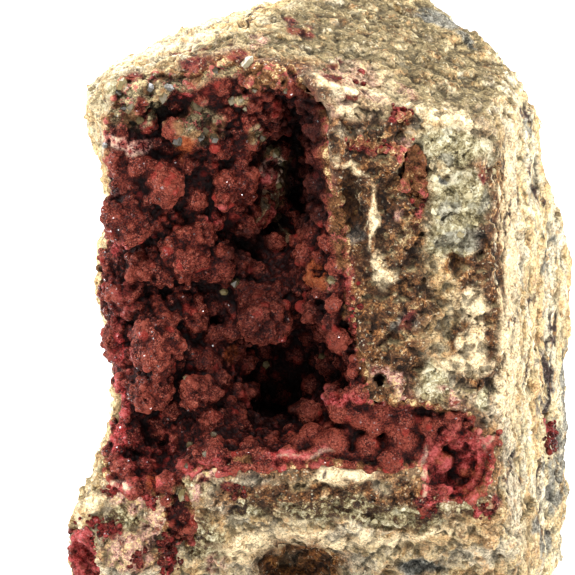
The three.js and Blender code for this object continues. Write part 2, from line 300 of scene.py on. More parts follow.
def blocks(points, size, seed):
    """Broken blocks, each with its own flat, tilted top, about -0.5 to 0.5."""
    place = (points / size) @ lattice_turn(seed)
    corner = np.floor(place).astype(np.int64)
    near = np.full(len(points), 9.0)
    high = np.zeros(len(points))
    for step in product((-1, 0, 1), repeat=3):
        cell = corner + step
        jitter = [scatter(*cell.T, seed + 31 * n) for n in (1, 2, 3)]
        offset = place - cell - np.stack(jitter, 1)
        away = np.sqrt((offset**2).sum(1))
        tilt = np.stack(jitter[::-1], 1) - 0.5
        high = np.where(away < near, (offset * tilt).sum(1) * 1.6 + jitter[0] - 0.5, high)
        near = np.minimum(near, away)
    return high


rock = piece("rock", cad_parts["matrix"].data.copy())
applied(rock, "REMESH", mode="VOXEL", voxel_size=ROCK_VOXEL * MM)
applied(rock, "SMOOTH", iterations=3, factor=0.5)
under = off_crust(points_of(rock.data)) < UNDER_CRUST
shape = bmesh.new()
shape.from_mesh(rock.data)
open_edges = [e for e in shape.edges if not all(under[v.index] for v in e.verts)]
bmesh.ops.subdivide_edges(shape, edges=open_edges, cuts=1, use_grid_fill=True)
shape.to_mesh(rock.data)
shape.free()
points, normals = points_of(rock.data), normals_of(rock.data)
near_crust = np.exp(-np.maximum(off_crust(points) - SEAM_WIDTH, 0) / SEAM_WIDTH)
layer_place = points @ LAYERS
along_layer = points @ np.array([LAYERS[1], -LAYERS[0], 0])
layered = np.stack([layer_place, along_layer, points[:, 2]], 1) * LAYER_STRETCH
front = smooth(-0.1, -0.5, normals[:, 1])
patch = Patches(points)
QUARTZ_PLACES = (
    (458, 150, 32, 24), (458, 205, 32, 33), (452, 240, 26, 18), (355, 511, 84, 13),
    (250, 512, 14, 8), (203, 540, 22, 24), (190, 492, 16, 12), (484, 400, 10, 18),
    (130, 95, 30, 16), (432, 385, 20, 28), (455, 505, 22, 14), (420, 515, 30, 12),
    (122, 517, 18, 8),
)
FELDSPAR_PLACES = (
    (472, 305, 20, 15), (478, 340, 13, 22), (462, 363, 30, 10), (383, 268, 9, 19),
    (350, 474, 30, 13, -3), (350, 537, 150, 6, -2), (350, 90, 46, 5, 22), (440, 112, 50, 6, 18),
    (250, 545, 36, 14, -20), (352, 108, 20, 4, 5), (512, 200, 10, 110), (512, 370, 11, 60),
    (95, 500, 14, 9), (372, 215, 4, 34), (350, 168, 16, 3, 35),
)
ROUGH_RELIEF = (
    (0.45, knobbly, 3.0, 1), (0.2, knobbly, 1.5, 2), (0.14, knobbly, 0.75, 3),
    (0.4, blocks, 1.7, 6), (0.28, blocks, 0.85, 7),
)
GLASSY_RELIEF = ((0.35, knobbly, 3.0, 1), (0.55, blocks, 1.8, 4), (0.28, blocks, 0.85, 5))
quartz = patch(*QUARTZ_PLACES) * front
rough = sum(high * form(points, size, seed) for high, form, size, seed in ROUGH_RELIEF)
glassy = sum(high * form(points, size, seed) for high, form, size, seed in GLASSY_RELIEF)
layer_wander = 2.4 * waves(points, 11.0, 19) + 1.1 * waves(points * (1, 1, 0.35), 4.5, 9)
ledges = np.abs(((layer_place + layer_wander) / LAYER_THICKNESS) % 1 - 0.5) * 2
stretched = layered * (1, 0.5, 0.5)
upright, tall = points * (1, 1, 0.7), points * (1, 1, 0.6)
broken = upright + 1.2 * waves(points, 4.0, 22)[:, None]
SPLIT_RELIEF = (
    (0.24, waves, stretched, 1.1, 11), (0.14, waves, stretched, 0.55, 12),
    (0.55, waves, points, 6.0, 13), (0.65, blocks, broken, 6.0, 18),
    (0.16, knobbly, points, 1.6, 15), (0.14, knobbly, points, 0.7, 14),
    (0.34, blocks, tall, 2.2, 16), (0.2, blocks, upright, 0.95, 17),
)
split = LEDGE_HEIGHT * (ledges - 0.5) * smooth(-0.2, 0.5, waves(points, 6.0, 20))
split += sum(high * form(place, size, seed) for high, form, place, size, seed in SPLIT_RELIEF)
height = front * ((1 - quartz) * rough + quartz * glassy) + (1 - front) * split
height *= (1 - 0.45 * near_crust) * (1 - 0.7 * patch((350, 474, 26, 12, -3)))
height += near_crust * (0.12 * knobbly(points, 0.9, 21) + 0.05)
height *= smooth(-0.95, -0.6, normals[:, 2])
points = raised_or_dented(points + normals * height[:, None], front * (1 - near_crust))
points = sunk(points, near_crust)
points[:, 2] = np.maximum(points[:, 2], 0)
place_points(rock.data, points)
seen = normals @ -eye_away
rock_surface = surface_of(rock.data)


def without(mesh, dropped):
    """Takes away the faces whose corners are all dropped."""
    shape = bmesh.new()
    shape.from_mesh(mesh)
    faces = [f for f in shape.faces if all(dropped[v.index] for v in f.verts)]
    bmesh.ops.delete(shape, geom=faces, context="FACES")
    shape.to_mesh(mesh)
    shape.free()


rock_rear = piece("rock_rear", rock.data.copy())
paint(rock.data, "thin", 1 - 0.95 * smooth(-0.3, 0.2, seen) * (1 - 0.8 * near_crust))
paint(rock_rear.data, "thin", 0.3 + 0.7 * near_crust)
without(rock.data, seen < FRONT_ENDS)
without(rock_rear.data, seen > REAR_ENDS)
for obj in (rock, rock_rear):
    thin = read(obj.data.color_attributes["thin"].data, "color", 4)
    thinned(obj, ROCK_TRIANGLES, thin[:, 0])
    obj.data.color_attributes.remove(obj.data.color_attributes["thin"])


def put(tree, kind, inputs=(), **settings):
    """Adds a shader node, sets it and links or fills its inputs."""
    node = tree.nodes.new("ShaderNode" + kind)
    for key, value in settings.items():
        setattr(node, key, value)
    for socket, value in dict(inputs).items():
        if isinstance(value, bpy.types.NodeSocket):
            tree.links.new(value, node.inputs[socket])
        else:
            node.inputs[socket].default_value = value
    return node


def new_finish(name):
    """An empty material, its node tree and the object's own coordinates."""
    finish = bpy.data.materials.new(name)
    finish.use_nodes = True
    finish.node_tree.nodes.clear()
    return finish, finish.node_tree, put(finish.node_tree, "TexCoord").outputs["Object"]


def mixed(share, first, second, blend="MIX"):
    """A mix of two colours, each a socket or (r, g, b), with at least one socket."""
    tree = (first if isinstance(first, bpy.types.NodeSocket) else second).id_data
    sides = [c if isinstance(c, bpy.types.NodeSocket) else (*c, 1) for c in (first, second)]
    node = put(
        tree, "Mix", {0: share, 6: sides[0], 7: sides[1]}, data_type="RGBA", blend_type=blend
    )
    return node.outputs[2]


def speckle(place, size, detail=3.0, rough=0.6, output="Fac"):
    """Noise from 0 to 1 with bumps of `size` millimetres."""
    inputs = {"Vector": place, "Scale": 1 / (size * MM), "Detail": detail, "Roughness": rough}
    return put(place.id_data, "TexNoise", inputs).outputs[output]


def ramp(value, *stops):
    """Colours along a value, each stop a place and (r, g, b)."""
    node = put(value.id_data, "ValToRGB", {"Fac": value})
    ends = node.color_ramp.elements
    while len(ends) < len(stops):
        ends.new(0.5)
    for end, (position, colour) in zip(ends, stops):
        end.position = position
        end.color = (*colour, 1) if isinstance(colour, tuple) else (colour, colour, colour, 1)
    return node.outputs["Color"]


def shares(tree, name):
    """The three shares painted under a name."""
    attribute = put(tree, "Attribute", attribute_name=name)
    split = put(tree, "SeparateColor", {"Color": attribute.outputs["Color"]})
    return split.outputs[0], split.outputs[1], split.outputs[2]


def maths(operation, *values):
    node = put(values[0].id_data, "Math", dict(enumerate(values)), operation=operation)
    return node.outputs[0]


def summed(start, *terms):
    """A start plus each value times its weight."""
    total = start
    for value, weight in terms:
        total = maths("MULTIPLY_ADD", value, weight, total)
    return total


def vectors(operation, *values):
    node = put(values[0].id_data, "VectorMath", dict(enumerate(values)), operation=operation)
    return node.outputs[0]


def strayed(colour, reach):
    """A random step from a random colour, at most half of `reach` each way."""
    step = vectors("SUBTRACT", colour, (0.5, 0.5, 0.5))
    return vectors("MULTIPLY", step, (reach, reach, reach))


def bumps(*layers):
    """Small relief for the light only, each layer a height, its strength and its depth in mm."""
    below = {}
    for height, strength, depth in layers:
        inputs = {"Strength": strength, "Distance": abs(depth) * MM, "Height": height, **below}
        node = put(height.id_data, "Bump", inputs, invert=depth < 0)
        below = {"Normal": node.outputs[0]}
    return node.outputs[0]


def shaded(tree, **inputs):
    """The surface itself, with its inputs' names written with _ for a space."""
    inputs = {name.replace("_", " "): value for name, value in inputs.items()}
    shader = put(tree, "BsdfPrincipled", inputs)
    put(tree, "OutputMaterial", {"Surface": shader.outputs[0]})


def cells(place, size, output="Color", feature="F1"):
    """Cells of `size` millimetres, each with a colour of its own."""
    inputs = {"Vector": place, "Scale": 1 / (size * MM)}
    return put(place.id_data, "TexVoronoi", inputs, feature=feature).outputs[output]


def channel(colour, number=0):
    return put(colour.id_data, "SeparateColor", {"Color": colour}).outputs[number]


def dress(obj, finish):
    """Gives the object flat faces and one finish."""
    obj.data.shade_flat()
    obj.data.materials.clear()
    obj.data.materials.append(finish)


CREAM = (0.66, 0.49, 0.235)
PALE_CREAM = (0.85, 0.74, 0.48)
OCHRE = (0.34, 0.18, 0.05)
GREY_STREAK = (0.18, 0.15, 0.1)
QUARTZ_DARK = (0.04, 0.032, 0.014)
QUARTZ = (0.19, 0.148, 0.065)
QUARTZ_PALE = (0.42, 0.36, 0.2)
QUARTZ_WHITE = (0.72, 0.67, 0.48)
BROWN_DARK = (0.018, 0.008, 0.003)
BROWN = (0.075, 0.03, 0.011)
BROWN_PALE = (0.19, 0.083, 0.032)
FELDSPAR = (0.58, 0.39, 0.19)
FELDSPAR_PALE = (0.85, 0.68, 0.42)
ROSE = (0.2, 0.03, 0.025)
SCHIST = (0.165, 0.12, 0.056)
SCHIST_DARK = (0.045, 0.033, 0.015)
SCHIST_PALE = (0.32, 0.25, 0.128)
ASH = (0.33, 0.3, 0.24)
CHALK = (0.85, 0.79, 0.62)
APRICOT = (0.72, 0.44, 0.2)
RUST = (0.2, 0.07, 0.018)
RUST_PALE = (0.5, 0.26, 0.1)
MOSS = (0.12, 0.11, 0.05)
SLATE = (0.05, 0.05, 0.042)
SLATE_PALE = (0.27, 0.26, 0.22)
CRIMSON_DEEP = (0.03, 0.003, 0.004)
PURPLE = (0.09, 0.055, 0.05)
LILAC = (0.55, 0.29, 0.25)

CREAM_RIM_PLACES = ((350, 105, 36, 12, 5), (368, 82, 38, 13, 15))
RUST_PLACES = (
    (345, 210, 17, 43), (300, 564, 52, 26), (408, 180, 9, 20), (395, 205, 8, 10),
    (455, 265, 9, 12), (400, 120, 12, 14),
)
SLATE_PLACES = ((425, 566, 28, 11), (445, 180, 5, 5))
SLATE_TINGES = (
    (350, 238, 12, 10), (405, 320, 14, 8), (445, 207, 14, 8, -30), (462, 236, 28, 12),
    (452, 165, 8, 6), (480, 205, 8, 14),
)
GRIT_PLACES = (
    (380, 270, 55, 190), (230, 80, 70, 30), (480, 270, 30, 160), (340, 500, 150, 18),
    (135, 550, 34, 24), (365, 158, 50, 30), (325, 140, 18, 20), (405, 122, 20, 14),
    (355, 113, 28, 14),
)
LILAC_PLACES = (
    (385, 370, 18, 8), (397, 385, 6, 16), (452, 402, 20, 5, 40), (115, 490, 14, 6),
    (345, 278, 4, 14), (256, 42, 6, 12), (395, 210, 6, 16), (405, 145, 14, 8, 20),
    (125, 500, 24, 9), (152, 522, 14, 18), (130, 550, 24, 20), (165, 500, 10, 14),
    (212, 562, 7, 14), (250, 440, 6, 4), (300, 457, 34, 4, -6), (262, 463, 30, 4, -3),
    (208, 471, 20, 5), (158, 480, 14, 6, 20), (173, 505, 5, 26), (196, 500, 4, 22),
)
LILAC_TINGES = (
    (405, 90, 16, 5, 20), (330, 108, 14, 6, 30), (345, 72, 40, 12, 20), (360, 102, 26, 6, 10)
)
CRIMSON_PLACES = (
    (368, 144, 22, 6, 8), (405, 155, 12, 6, 20), (420, 180, 5, 26), (416, 216, 4, 14),
    (400, 115, 10, 7), (355, 100, 14, 4, 20), (330, 78, 10, 4, 30), (85, 545, 12, 30),
    (168, 550, 7, 26), (350, 300, 5, 40), (425, 500, 6, 14), (490, 505, 8, 8), (480, 180, 3, 8),
    (410, 320, 5, 10), (150, 500, 8, 8), (112, 528, 8, 6), (140, 560, 6, 8),
    (300, 30, 20, 5, 20), (235, 57, 14, 8), (190, 60, 18, 8), (130, 80, 8, 8),
    (340, 60, 8, 4, 20), (235, 492, 8, 7), (205, 478, 6, 5),
)
SEAM_PLACES = (
    (510, 215, 2, 30, 3), (503, 160, 2, 12), (515, 320, 2, 12), (523, 370, 2, 22),
    (545, 385, 4, 34), (526, 115, 4, 9), (531, 172, 3, 8), (536, 197, 4, 11), (545, 235, 3, 10),
    (512, 470, 2, 20), (538, 470, 3, 24), (333, 471, 2, 9, 8), (530, 300, 2, 18),
    (552, 330, 3, 20), (250, 14, 16, 2, -30), (545, 520, 3, 24),
)
REAR_SLATE_PLACES = (
    (566, 420, 6, 90), (440, 22, 24, 8, 20), (468, 46, 14, 5, 30), (545, 385, 6, 44),
    (556, 480, 5, 40), (548, 250, 4, 20), (530, 130, 5, 16), (540, 540, 6, 24),
)
# Places where the painted shade of low places is made lighter, then places where it is made darker.
LESS_SHADE_PLACES = ((350, 474, 30, 12, -3), (512, 220, 8, 110), (99, 100, 8, 40), (300, 562, 50, 22))
MORE_SHADE_PLACES = ((398, 260, 30, 60), (472, 340, 24, 44), (458, 228, 32, 24))

for obj in (rock_rear, rock):
    points, normals = points_of(obj.data), normals_of(obj.data)
    patch = Patches(points)
    shown = smooth(-0.25, -0.1, normals @ -eye_away)
    weathered = 0.6 * (1 - shown) * smooth(-0.1, 0.5, waves(points, 8.0, 31))
    front = smooth(-0.05, -0.4, normals[:, 1]) * smooth(-8, -12, points[:, 1])
    quartz, feldspar = patch(*QUARTZ_PLACES), patch(*FELDSPAR_PLACES)
    feldspar = np.maximum(feldspar, 0.45 * patch(*CREAM_RIM_PLACES))
    rust = patch(*RUST_PLACES)
    slate = np.maximum(patch(*SLATE_PLACES), 0.6 * patch(*SLATE_TINGES))
    top = smooth(0.45, 0.75, normals[:, 2]) * (1 - patch((150, 30, 150, 36, -16)))
    gritty = patch(*GRIT_PLACES)
    lilac = np.maximum(patch(*LILAC_PLACES), 0.6 * patch(*LILAC_TINGES))
    crimson = patch(*CRIMSON_PLACES)
    seams = patch(*SEAM_PLACES)
    rear_slate = patch(*REAR_SLATE_PLACES)
    blush = np.exp(-off_crust(points) / 0.6) * smooth(-0.1, 0.5, waves(points, 1.6, 12)) * 0.8
    blush *= 1 - patch((350, 474, 34, 16, -3))
    # The relief, lifted at some listed places and lowered at others; the finish turns it into
    # painted shade in low places and painted glints on raised grains.
    raised = relief(obj.data, 16)
    raised += 0.12 * patch(*LESS_SHADE_PLACES) + 0.16 * patch((350, 474, 28, 11, -3))
    raised -= 0.25 * patch((350, 212, 13, 34)) + 0.07 * patch(*MORE_SHADE_PLACES)
    raised -= 0.08 * patch((458, 228, 30, 20), (365, 120, 20, 8, 10))
    paint(obj.data, "minerals", quartz * front, feldspar * front, rust * front)
    by_hollow = smooth(3.0, 1.2, off_crust(points)) * (in_view(points)[0] > 200)
    grit_share = np.max([front * (0.35 + 0.65 * gritty), 0.9 * by_hollow, weathered], 0)
    slate_share = np.maximum(slate * front, 0.9 * rear_slate * shown)
    paint(obj.data, "faces", top * (1 - by_hollow), grit_share, blush)
    # The third share carries that relief, for the painted shade and the painted glints.
    paint(obj.data, "spots", slate_share, lilac * shown, 0.5 + raised / 0.4)
    paint(obj.data, "streaks", seams * shown, crimson * shown, smooth(24, 20, points[:, 2]))

rock_finish, tree, place = new_finish("broken_rock")
bent = vectors("ADD", place, strayed(speckle(place, 0.8, 2, 0.5, "Color"), 0.9 * MM))
layer_turn = math.atan2(LAYERS[0], LAYERS[1])
streak_place = put(
    tree, "Mapping", {"Vector": bent, "Rotation": (0, 0, layer_turn), "Scale": (0.3, 1.0, 0.16)}
).outputs[0]
fine = speckle(place, 0.22, 3, 0.8)
rusting = speckle(place, 1.3, 4, 0.7)
greening = speckle(bent, 1.7, 4, 0.7)
middling = speckle(bent, 0.9, 2, 0.6)
coarse = speckle(place, 2.8, 3, 0.6)
streaks = speckle(streak_place, 1.0, 4, 0.7)
bands = speckle(streak_place, 2.6, 3, 0.6)
cracks = speckle(streak_place, 0.55, 2, 0.5)
large_grain = channel(cells(bent, 1.0))
small_grain = channel(cells(bent, 0.42))
mineral = summed(
    -0.5, (large_grain, 0.2), (small_grain, 0.2), (fine, 0.75), (middling, 0.4), (coarse, 0.45)
)
is_quartz, is_feldspar, is_rust = shares(tree, "minerals")
is_top, is_grit, is_blush = shares(tree, "faces")
is_slate, is_lilac, is_raised = shares(tree, "spots")
is_seam, is_crimson, is_low = shares(tree, "streaks")
skin = ramp(streaks, (0.32, GREY_STREAK), (0.38, OCHRE), (0.45, CREAM), (0.56, PALE_CREAM))
skin = mixed(
    0.4, skin, ramp(mineral, (0.3, GREY_STREAK), (0.4, OCHRE), (0.5, CREAM), (0.62, PALE_CREAM))
)
slope = ramp(streaks, (0.36, SCHIST_DARK), (0.46, SCHIST), (0.56, SCHIST_PALE), (0.68, CREAM))
grit = ramp(
    mineral, (0.32, BROWN_DARK), (0.48, BROWN), (0.64, BROWN_PALE), (0.8, CREAM), (0.92, PALE_CREAM)
)
glass = ramp(mineral, (0.26, QUARTZ_DARK), (0.38, QUARTZ), (0.5, QUARTZ_PALE), (0.66, QUARTZ_WHITE))
low_glass = ramp(
    mineral, (0.3, BROWN_DARK), (0.42, BROWN), (0.52, QUARTZ), (0.62, QUARTZ_PALE),
    (0.75, QUARTZ_WHITE),
)
glass = mixed(is_low, glass, low_glass)
spar = ramp(mineral, (0.2, BROWN), (0.32, FELDSPAR), (0.5, FELDSPAR_PALE))
gold = ramp(mineral, (0.33, BROWN_DARK), (0.46, BROWN), (0.6, RUST), (0.75, OCHRE))
schist = mixed(0.5, slope, ramp(mineral, (0.3, SCHIST_DARK), (0.46, SCHIST), (0.64, SCHIST_PALE)))
rusty = ramp(mineral, (0.35, BROWN_DARK), (0.5, RUST), (0.68, RUST_PALE))
mossy = ramp(mineral, (0.35, QUARTZ_DARK), (0.5, MOSS), (0.68, QUARTZ_PALE))
grit = mixed(ramp(rusting, (0.51, 0.0), (0.58, 0.85)), grit, rusty)
grit = mixed(ramp(greening, (0.6, 0.0), (0.66, 0.6)), grit, mossy)
skin = mixed(ramp(bands, (0.5, 0.0), (0.56, 0.55)), skin, ramp(mineral, (0.3, ASH), (0.5, CHALK)))
skin = mixed(
    ramp(bands, (0.4, 0.75), (0.46, 0.0)), skin,
    ramp(mineral, (0.3, RUST), (0.45, APRICOT), (0.6, CREAM)),
)
skin = mixed(ramp(rusting, (0.54, 0.0), (0.64, 0.7)), skin, APRICOT)
skin = mixed(ramp(cracks, (0.28, 0.7), (0.33, 0.0)), skin, BROWN)
schist = mixed(ramp(greening, (0.56, 0.0), (0.64, 0.6)), schist, rusty)
colour = mixed(is_grit, skin, grit)
colour = mixed(is_top, colour, schist)
colour = mixed(is_quartz, colour, glass)
colour = mixed(is_feldspar, colour, spar)
colour = mixed(is_rust, colour, gold)
colour = mixed(is_slate, colour, ramp(mineral, (0.35, SLATE), (0.6, SLATE_PALE)))
colour = mixed(is_seam, colour, ramp(mineral, (0.35, BROWN_DARK), (0.6, PURPLE), (0.75, OCHRE)))
pinkish = ramp(mineral, (0.3, ROSE), (0.38, BROWN_PALE), (0.5, LILAC), (0.68, CREAM))
colour = mixed(maths("MULTIPLY", is_lilac, ramp(coarse, (0.38, 0.0), (0.5, 1.0))), colour, pinkish)
colour = mixed(
    is_crimson, colour, ramp(mineral, (0.35, CRIMSON_DEEP), (0.52, ROSE), (0.7, BROWN_PALE))
)
colour = mixed(is_blush, colour, ROSE)
# Painted shade: the rock's colour darkened in its low places, where shade falls, less on quartz.
recess_shade = ramp(is_raised, (0.1, 0.35), (0.42, 0.8), (0.62, 1.0))
recess_shade = mixed(maths("MULTIPLY", is_quartz, 0.6), recess_shade, (1.0, 1.0, 1.0))
pits = speckle(place, 0.4, 3, 0.7)
colour = mixed(ramp(pits, (0.33, 0.6), (0.39, 0.0)), colour, BROWN)
# The painted shade is multiplied in here.
colour = mixed(1.0, colour, recess_shade, "MULTIPLY")
sand = channel(cells(place, 0.17))
grains = ramp(sand, (0.05, 0.55), (0.5, 1.0), (0.95, 1.3))
grains = mixed(maths("MULTIPLY", is_quartz, 0.6), grains, (1.0, 1.0, 1.0))
colour = mixed(1.0, colour, grains, "MULTIPLY")
# Painted glints: a few white specks on the raised grains.
painted_glint = maths("MULTIPLY", ramp(sand, (0.95, 0.0), (0.97, 0.45)), is_raised)
colour = mixed(painted_glint, colour, QUARTZ_WHITE)
bump = bumps((small_grain, 0.7, 0.3), (sand, 0.6, 0.2), (fine, 0.9, 0.25))
gloss = summed(0.75, (is_quartz, -0.45))
shaded(tree, Base_Color=colour, Roughness=gloss, Normal=bump, Specular_IOR_Level=0.2)
for obj in (rock, rock_rear):
    dress(obj, rock_finish)
    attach(obj, "root")
    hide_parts("matrix")

# ---- The grains ----
# Single angular grains of glassy grey-green quartz, with cream feldspar between them. They are
# harder than the stone round them, and stood out of the quartz veins when the front broke open.

GRAIN_SPACING = 0.7
GRAIN_SHARE = 0.3
GRAIN_SIZES = (0.25, 0.5)
GRAIN_SINK = 0.75


def scattered(mesh, spacing, rng, share):
    """Places on a mesh `spacing` or more apart and the way each faces, most where share is high."""
    mesh.calc_loop_triangles()
    corners = read(mesh.loop_triangles, "vertices", 3, np.int32)
    a, b, c = points_of(mesh)[corners.T]
    cross = np.cross(b - a, c - a)
    area = np.linalg.norm(cross, axis=1) / 2
    likely = area * share[corners].mean(1)
    count = int(likely.sum() / spacing**2 * 2.5)
    chosen = rng.choice(len(area), count, p=likely / likely.sum())
    u, v = rng.random(count), rng.random(count)
    flip = u + v > 1
    u[flip], v[flip] = 1 - u[flip], 1 - v[flip]
    spots = a[chosen] + (b - a)[chosen] * u[:, None] + (c - a)[chosen] * v[:, None]
    facing = cross[chosen] / (2 * area[chosen, None] + 1e-12)
    taken, kept = {}, []
    for n, spot in enumerate(spots.tolist()):
        i, j, k = (int(along // spacing) for along in spot)
        near = (taken.get((i + a, j + b, k + c), spot) for a, b, c in product((-1, 0, 1), repeat=3))
        if all(other is spot or math.dist(other, spot) >= spacing for other in near):
            taken[i, j, k] = spot
            kept.append(n)
    return spots[kept], facing[kept]


def mesh_from(points, faces):
    """A mesh from points in millimetres and faces, all with the same number of corners."""
    mesh = bpy.data.meshes.new("mesh")
    mesh.vertices.add(len(points))
    mesh.loops.add(faces.size)
    mesh.polygons.add(len(faces))
    mesh.vertices.foreach_set("co", (points * MM).astype(np.float32).ravel())
    mesh.loops.foreach_set("vertex_index", faces.astype(np.int32).ravel())
    mesh.polygons.foreach_set(
        "loop_start", np.arange(0, faces.size, faces.shape[1], dtype=np.int32)
    )
    mesh.update(calc_edges=True)
    return mesh


def round_template(level):
    shape = bmesh.new()
    bmesh.ops.create_icosphere(shape, subdivisions=level, radius=1)
    points = np.array([v.co[:] for v in shape.verts])
    faces = np.array([[v.index for v in f.verts] for f in shape.faces])
    shape.free()
    return points, faces


def copies(shapes, faces):
    """One mesh of many copies of a shape, from each copy's own points."""
    step = np.arange(len(shapes))[:, None, None] * shapes.shape[1]
    return mesh_from(shapes.reshape(-1, 3), (faces[None] + step).reshape(-1, faces.shape[1]))


def turned(count, rng):
    """Random turns, one for each of many shapes."""
    turns = rng.normal(size=(count, 4))
    return np.array([Quaternion(turn).normalized().to_matrix() for turn in turns])


def drawn(rng, sizes, count=None):
    """Random sizes between two, most of them near the smaller."""
    least, most = sizes
    return least + (most - least) * rng.random(count) ** 2


rng = np.random.default_rng(11)
points = points_of(rock.data)
seen = smooth(0.0, 0.25, normals_of(rock.data) @ -eye_away)
bare_quartz = seen * (off_crust(points) > 0.9) * Patches(points)(*QUARTZ_PLACES)
spots, facing = scattered(rock.data, GRAIN_SPACING, rng, bare_quartz)
kept = rng.random(len(spots)) < GRAIN_SHARE
spots, facing = spots[kept], facing[kept]
chunk, chunk_faces = round_template(1)
sizes = drawn(rng, GRAIN_SIZES, len(spots))
jagged = 1 + 0.6 * (rng.random((len(spots), len(chunk))) - 0.5)
stretch = 0.7 + 0.6 * rng.random((len(spots), 1, 3))
shapes = (chunk[None] * jagged[:, :, None] * stretch) @ turned(len(spots), rng)
shapes = shapes * sizes[:, None, None] + (spots - facing * sizes[:, None] * GRAIN_SINK)[:, None]
grain_piece = piece("grains", copies(shapes, chunk_faces))
in_feldspar = Patches(spots)(*FELDSPAR_PLACES)
paint(grain_piece.data, "minerals", np.repeat(in_feldspar, len(chunk)))
paint(grain_piece.data, "tones", np.repeat(rng.random(len(spots)), len(chunk)))

grain_finish, tree, place = new_finish("grains")
fine = speckle(place, 0.25, 3, 0.7)
tone = summed(0, (shares(tree, "tones")[0], 0.6), (fine, 0.4))
glass = ramp(tone, (0.2, QUARTZ), (0.6, QUARTZ_PALE), (0.9, QUARTZ_WHITE))
spar = ramp(tone, (0.2, FELDSPAR), (0.6, FELDSPAR_PALE))
colour = mixed(shares(tree, "minerals")[0], glass, spar)
shaded(tree, Base_Color=colour, Roughness=0.2, Normal=bumps((fine, 0.6, 0.15)))
dress(grain_piece, grain_finish)
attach(grain_piece, "root")

# ---- The main crust ----
# Roselite, a cobalt mineral grown on the hollow's walls: dark red crystal balls grown together
# into bunches, the largest of them some millimetres across, each covered in smaller balls.

CRUST_TRIANGLES = 197000
CRUST_VOXEL = 0.14
BULGE_VOXEL = 0.25
BULGE_SPACING = 2.0
BULGE_SIZES = (0.65, 1.35)
LUMP_SPACING = 0.62
LUMP_SIZES = (0.22, 0.44)
SEAM_SPACING = 0.42
BEAD_SIZES = (0.15, 0.45)
# Large balls on the walls: middle across and down the view, and radius there.
BULGES = (
    (168, 185, 17), (130, 220, 24), (190, 214, 11), (217, 218, 7), (186, 234, 9), (190, 258, 16),
    (215, 262, 20), (240, 264, 13), (185, 282, 10), (165, 275, 10), (130, 300, 18), (122, 322, 12),
    (155, 345, 24), (115, 350, 10), (196, 318, 14), (215, 306, 8), (235, 328, 12), (265, 315, 25),
    (290, 322, 9), (235, 355, 10), (262, 348, 11), (312, 300, 7), (323, 328, 12), (340, 345, 9),
    (318, 275, 12), (215, 455, 12), (147, 484, 9), (265, 460, 10), (287, 450, 8), (305, 445, 10),
    (235, 490, 9), (142, 265, 14), (152, 390, 20), (195, 390, 16), (165, 425, 18), (210, 420, 14),
    (240, 430, 12), (132, 440, 16), (185, 160, 12), (225, 180, 12), (215, 150, 10), (140, 165, 14),
    (250, 175, 10), (265, 210, 10), (245, 225, 12), (205, 365, 14), (180, 315, 12), (300, 355, 12),
    (330, 365, 12), (345, 395, 10), (315, 415, 12), (125, 385, 10), (285, 340, 10), (245, 290, 10),
    (225, 285, 9), (103, 470, 10), (125, 470, 12), (150, 455, 12), (262, 456, 8), (283, 450, 7),
    (300, 446, 7), (240, 460, 8), (222, 462, 8), (205, 464, 8), (250, 445, 8), (272, 438, 8),
    (232, 447, 8), (318, 442, 8), (195, 452, 8),
)
# Large balls on the ledge: the same, and how far back each lies in millimetres.
LEDGE_BULGES = (
    (450, 451, 9, -16.2), (454, 472, 9, -16.0), (446, 463, 8, -16.6), (461, 464, 7, -16.2),
    (360, 417, 13, -18.3), (382, 415, 12, -18.3), (405, 420, 13, -18.3), (428, 425, 12, -18.3),
    (448, 432, 11, -18.2), (395, 430, 10, -18.7), (340, 412, 12, -18.0), (374, 428, 9, -18.8),
    (335, 444, 17, -17.9), (402, 440, 19, -17.9), (370, 410, 21, -16.6), (368, 446, 14, -18.2),
    (432, 444, 12, -18.0), (345, 418, 13, -16.0), (390, 420, 15, -17.2), (412, 410, 11, -17.6),
    (424, 428, 11, -17.2), (312, 436, 14, -17.0), (352, 430, 12, -17.2), (298, 446, 11, -17.6),
    (442, 462, 11, -17.6), (456, 440, 10, -17.4), (466, 468, 10, -16.8), (452, 489, 10, -17.0),
    (446, 426, 11, -17.6), (478, 442, 10, -17.8), (427, 458, 9, -18.2), (310, 414, 13, -13.5),
    (335, 400, 12, -15.5), (470, 452, 9, -17.2), (476, 486, 9, -17.6), (458, 456, 8, -16.6),
    (466, 496, 8, -17.6), (440, 478, 8, -17.2), (484, 466, 8, -18.0), (462, 480, 7, -16.4),
    (183, 505, 8, -15.5), (180, 522, 8, -15.0), (186, 538, 7, -15.5), (178, 545, 7, -15.0),
    (352, 396, 11, -17.4), (432, 412, 8, -17.8), (350, 408, 9, -17.0), (392, 402, 9, -17.8),
)
